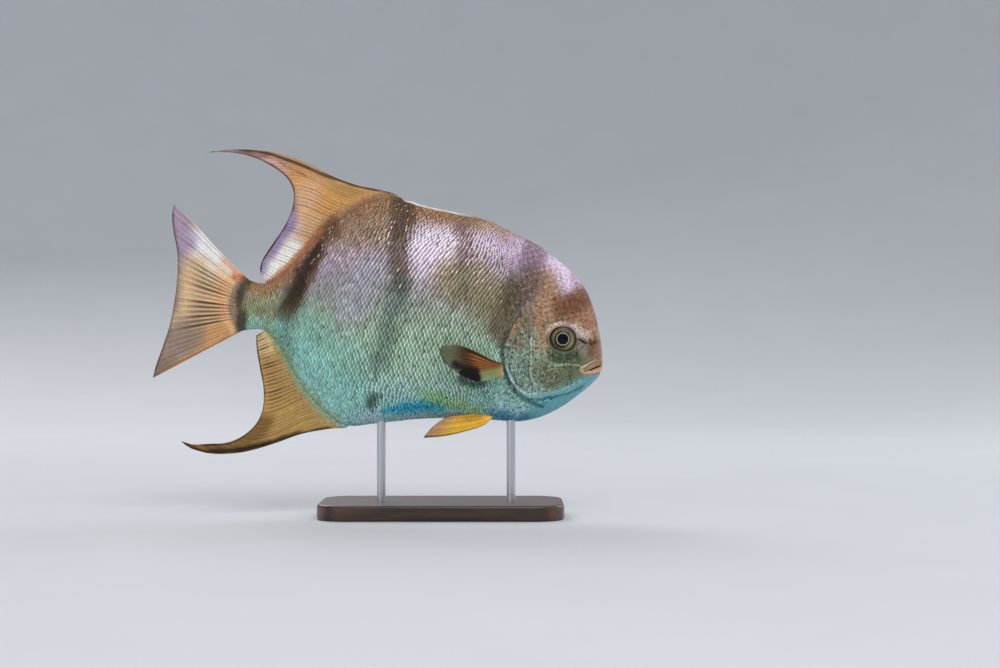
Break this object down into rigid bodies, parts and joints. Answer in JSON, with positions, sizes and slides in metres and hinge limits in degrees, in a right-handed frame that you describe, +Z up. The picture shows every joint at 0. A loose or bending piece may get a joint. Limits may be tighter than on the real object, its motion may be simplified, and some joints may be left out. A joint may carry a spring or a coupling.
{
  "type": "atlantic spadefish display model",
  "caption": "Life-size still model of a deep-bodied Atlantic spadefish with swept fins and dusky bars, held nose down on rods over a flat wooden base.",
  "frame": {"origin": "centre of the underside of the stand's base", "axes": "+X towards the snout, +Y to the fish's left, +Z up; the fish is pitched 8 degrees nose down about Y"},
  "size_m": [0.4076, 0.112, 0.3323],
  "materials": {
    "skin": "satin",
    "fins": "satin",
    "eye": "gloss",
    "base_wood": "satin",
    "rod_steel": "satin"
  },
  "bodies": {
    "root": {"head": "skin", "upper_lip": "skin", "lower_jaw": "skin", "gill_cover_right": "skin", "gill_cover_left": "skin", "trunk": "skin", "tail_stalk": "skin", "dorsal_fin_spines": "fins", "dorsal_fin": "fins", "anal_fin": "fins", "tail_fin": "fins", "pectoral_fin_right": "fins", "pectoral_fin_left": "fins", "pelvic_fin_right": "fins", "pelvic_fin_left": "fins", "eye_right": "eye", "eye_left": "eye", "stand_base": "base_wood", "stand_rod_front": "rod_steel", "stand_rod_rear": "rod_steel"}
  },
  "joints": []
}
